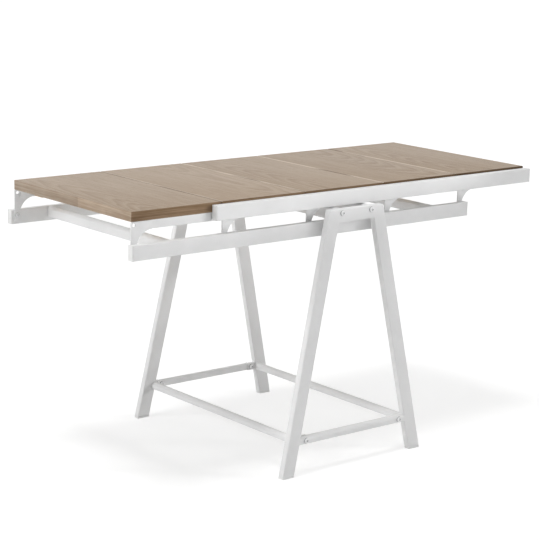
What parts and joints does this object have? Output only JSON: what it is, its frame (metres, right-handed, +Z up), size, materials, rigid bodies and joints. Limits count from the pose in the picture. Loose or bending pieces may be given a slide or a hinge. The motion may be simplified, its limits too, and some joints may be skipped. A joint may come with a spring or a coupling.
{
  "type": "extending dining table",
  "caption": "Extending dining table with splayed white steel trestle legs, a bearer truss of quarter-round brackets, a sliding wooden board top and a loose end leaf.",
  "frame": {"origin": "centre of the object's footprint on the floor, with the top open as pictured", "axes": "+X along the table towards the end without the leaf, +Y to the rear long side, +Z up; the front is -Y"},
  "size_m": [1.418, 0.7046, 0.766],
  "materials": {
    "oak_board": "satin, greyish brown, grain across the table",
    "batten_wood": "planed",
    "white_steel": "matt white powder coat",
    "white_plastic": "matt",
    "steel_fastener": "zinc plated"
  },
  "bodies": {
    "base": {"bracket_bolts": "steel_fastener", "cross_tube_plugs": "steel_fastener", "front_bearer": "white_steel", "front_bracket_1": "white_steel", "front_bracket_2": "white_steel", "front_bracket_3": "white_steel", "front_bracket_4": "white_steel", "front_bracket_5": "white_steel", "front_head_bar": "white_steel", "front_left_foot": "white_plastic", "front_left_leg": "white_steel", "front_low_bar": "white_steel", "front_lower_rail": "white_steel", "front_right_foot": "white_plastic", "front_right_leg": "white_steel", "glide_strips": "white_plastic", "head_bolts": "steel_fastener", "left_cross_tube": "white_steel", "left_stretcher": "white_steel", "left_tie_bar": "white_steel", "low_bolts": "steel_fastener", "low_nuts": "steel_fastener", "lower_rail_caps": "white_plastic", "rear_bearer": "white_steel", "rear_bracket_1": "white_steel", "rear_bracket_2": "white_steel", "rear_bracket_3": "white_steel", "rear_bracket_4": "white_steel", "rear_bracket_5": "white_steel", "rear_head_bar": "white_steel", "rear_left_foot": "white_plastic", "rear_left_leg": "white_steel", "rear_low_bar": "white_steel", "rear_lower_rail": "white_steel", "rear_right_foot": "white_plastic", "rear_right_leg": "white_steel", "right_cross_tube": "white_steel", "right_stretcher": "white_steel", "right_tie_bar": "white_steel", "saddle_bolts": "steel_fastener", "stretcher_tabs": "white_steel"},
    "top": {"top_board_1": "oak_board", "top_board_2": "oak_board", "top_board_3": "oak_board", "top_board_4": "oak_board", "front_side_rail": "white_steel", "rear_side_rail": "white_steel", "side_rail_caps": "white_plastic", "rail_screws": "steel_fastener", "front_top_batten": "batten_wood", "rear_top_batten": "batten_wood", "slide_clips": "white_plastic", "open_stop": "batten_wood", "closed_stop": "batten_wood", "under_screws": "steel_fastener"},
    "leaf": {"extension_leaf": "oak_board", "front_leaf_batten": "batten_wood", "rear_leaf_batten": "batten_wood", "leaf_screws": "steel_fastener"}
  },
  "joints": [
    {"name": "top_slide", "type": "slide", "parent": "base", "child": "top", "axis": [-1, 0, 0], "range_m": [0, 0.28]},
    {"name": "leaf_lift", "type": "slide", "parent": "top", "child": "leaf", "axis": [0, 0, 1], "range_m": [0, 0.15]}
  ]
}
